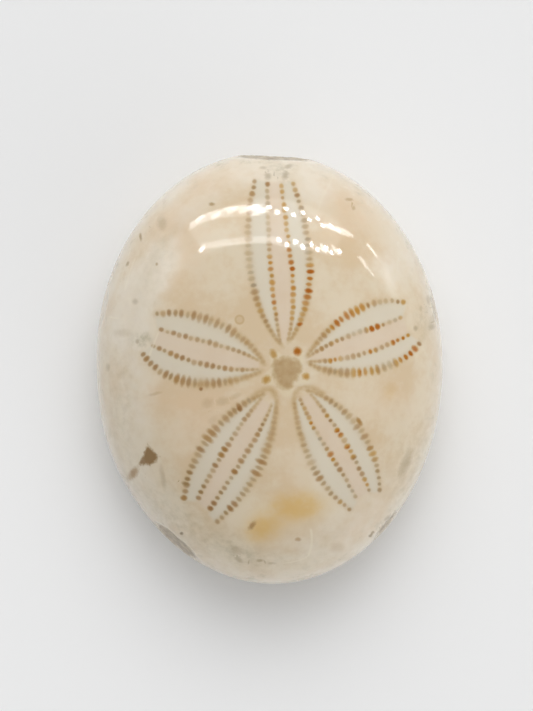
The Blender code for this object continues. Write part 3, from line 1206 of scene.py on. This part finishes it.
def make_world():
    """Soft light from all round, more of it from the front, and a low fill from the rear right."""
    world = bpy.data.worlds.new("studio")
    world.use_nodes = True
    tree = world.node_tree
    way = add_node(tree, "ShaderNodeTexCoord", {}, output="Generated")
    lobes = plus(add_lobe(way, GLOW), add_lobe(way, FILL))
    level = plus(lobes, EVEN)
    seen = add_node(tree, "ShaderNodeLightPath", {}, output="Is Camera Ray")
    mirrored = add_node(tree, "ShaderNodeLightPath", {}, output="Is Glossy Ray")
    level = spread(mirrored, level, MIRRORED)
    level = spread(seen, level, BACKDROP)
    background = tree.nodes["Background"]
    background.inputs["Color"].default_value = WHITE
    feed(background.inputs["Strength"], level)
    bpy.context.scene.world = world


# Light panels, which only the polish mirrors. The lit floor's radiance is about 0.8. Most stand on an
# upright plane in front of the object, where lights of one layer would hide each other if they overlapped,
# so each layer stands a little nearer.
BANK_DISTANCE = 400
LAYER_STEP = 3
SOFT_LAYERS = 5
OBJECT_MIDDLE = (0, 0, 8)

# A chain of thin lights through corners (across, up)
Strip = namedtuple("Strip", "name corners width radiance layer")
STRIPS = (
    Strip("bank", ((-340, 300), (330, 300)), 290, 1.7, 0),
    Strip("low_start", ((-322, 140), (-242, 146), (-160, 172)), 24, 2, 2),
    Strip("low_edge", ((-160, 170), (-117, 184), (-60, 199), (-20, 203)), 24, 6, 2),
    Strip("low_glow", ((-325, 158), (-242, 168), (-160, 200)), 54, 4.5, 1),
    Strip("low_broad", ((-160, 200), (-119, 214), (-60, 224), (-16, 224)), 70, 2.6, 1),
    Strip("low_end", ((226, 232), (289, 212)), 34, 8, 1),
    Strip("low_bright_end", ((238, 228), (304, 206)), 20, 8, 2),
    Strip("low_tip", ((287, 212), (350, 181)), 44, 8, 1),
    Strip("low_last", ((350, 181), (372, 170)), 24, 8, 1),
    Strip("high_edge", ((-338, 364), (-265, 396), (-170, 430), (-79, 444), (60, 452)), 14, 5, 2),
    Strip("high_glow", ((-330, 346), (-262, 378), (-167, 408), (-77, 420), (60, 430)), 36, 3.5, 1),
    Strip("high_end", ((60, 466), (205, 448), (341, 388)), 9, 5, 1),
    Strip("side_low", ((462, 120), (566, 126)), 28, 9, 1),
    Strip("side_high", ((474, 280), (574, 309)), 36, 7, 1),
    Strip("side_high_end", ((574, 309), (676, 306)), 18, 6, 1),
)

# Single lights on that plane: across, up, size, radiance and layer
Lump = namedtuple("Lump", "across up size radiance layer")
LUMP_SIZE = (36, 28)
LUMPS = (
    Lump(-262, 150, LUMP_SIZE, 6, 3),
    Lump(-196, 186, LUMP_SIZE, 7, 3),
    Lump(-128, 194, LUMP_SIZE, 7, 3),
    Lump(-84, 214, LUMP_SIZE, 8, 3),
    Lump(-50, 206, LUMP_SIZE, 12, 3),
    Lump(-14, 226, LUMP_SIZE, 12, 3),
    Lump(-48, 240, LUMP_SIZE, 7, 3),
    Lump(-325, 372, (30, 20), 20, 3),
    Lump(267, 399, (38, 32), 12, 2),
    Lump(330, 364, (44, 24), 12, 2),
)

# Zigzag rows of bright beads: the first one's place, their size, the step across and how fast the row drops
Beads = namedtuple("Beads", "across up size step drop")
BEADS = (
    Beads(5, 222, (14, 16), 31, 0),
    Beads(50, 436, (16, 20), 37.5, 1.1),
)
BEAD_COUNT = 9
BEAD_RADIANCE = 50
BEAD_LAYER = 3
ZIGZAG = 15

# Large panels that fade towards their edges: middle, size, radiance and what they face
SoftPanel = namedtuple("SoftPanel", "name middle size radiance target")
SOFT_PANELS = (
    SoftPanel("side", (785, BANK_DISTANCE, 160), (650, 280), 2.2, (785, 0, 160)),
    SoftPanel("left", (-430, 290, 250), (260, 300), 1.6, OBJECT_MIDDLE),
)


def add_panel(name, middle, size, radiance, target, turn=0.0):
    """A rectangle of light that faces a target; turn rolls it, in radians."""
    light = bpy.data.lights.new(name, "AREA")
    light.shape = "RECTANGLE"
    light.size, light.size_y = (metres(side) for side in size)
    light.energy = radiance * math.pi * light.size * light.size_y
    way = Vector(target) - Vector(middle)
    lamp = add_object(name, light)
    lamp.location = Vector(middle) * MM
    lamp.rotation_mode = "QUATERNION"
    lamp.rotation_quaternion = way.to_track_quat("-Z", "Y") @ Quaternion((0, 0, 1), turn)
    lamp.visible_camera = False
    lamp.visible_diffuse = False


def add_soft_panel(panel):
    """Panels one in front of the other, each smaller, so that the mirrored patch fades towards its edge."""
    way = (Vector(panel.target) - Vector(panel.middle)).normalized()
    for number in range(SOFT_LAYERS):
        share = 1 - number / SOFT_LAYERS
        middle = Vector(panel.middle) + way * (LAYER_STEP * number)
        size = [side * share for side in panel.size]
        add_panel(f"{panel.name}_{number}", middle, size, panel.radiance / SOFT_LAYERS, panel.target)


def on_bank(across, up, layer):
    return across, BANK_DISTANCE - LAYER_STEP * layer, up


def add_strip(strip):
    """Lights end to end that face straight away from the bank's plane."""
    for number, (first, second) in enumerate(zip(strip.corners, strip.corners[1:])):
        run, rise = second[0] - first[0], second[1] - first[1]
        middle = on_bank((first[0] + second[0]) / 2, (first[1] + second[1]) / 2, strip.layer)
        target = (middle[0], 0, middle[2])
        size = (math.hypot(run, rise), strip.width)
        add_panel(f"{strip.name}_{number}", middle, size, strip.radiance, target, -math.atan2(rise, run))


def all_lumps():
    yield from LUMPS
    for beads in BEADS:
        for number in range(BEAD_COUNT):
            up = beads.up - beads.drop * number**2 - ZIGZAG * (-1) ** number
            yield Lump(beads.across + beads.step * number, up, beads.size, BEAD_RADIANCE, BEAD_LAYER)


def make_lights():
    for strip in STRIPS:
        add_strip(strip)
    for number, lump in enumerate(all_lumps()):
        middle = on_bank(lump.across, lump.up, lump.layer)
        add_panel(f"lump_{number}", middle, lump.size, lump.radiance, OBJECT_MIDDLE)
    for panel in SOFT_PANELS:
        add_soft_panel(panel)


CAMERA_PLACE = (-0.29, 1.27, 300)
SENSOR = 36
PICTURE_HEIGHT = 66.45  # what the picture spans at the girth


def make_camera():
    camera = bpy.data.cameras.new("camera")
    camera.sensor_width = SENSOR
    camera.lens = SENSOR * (CAMERA_PLACE[2] - GIRTH_HEIGHT) / PICTURE_HEIGHT
    eye = add_object("camera", camera)
    eye.location = Vector(CAMERA_PLACE) * MM
    bpy.context.scene.camera = eye


def main():
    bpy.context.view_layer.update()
    test = make_test()
    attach(test, BODY)
    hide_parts(NODE)
    make_floor()
    make_world()
    make_lights()
    make_camera()
    bpy.context.scene.view_settings.view_transform = "Standard"


main()
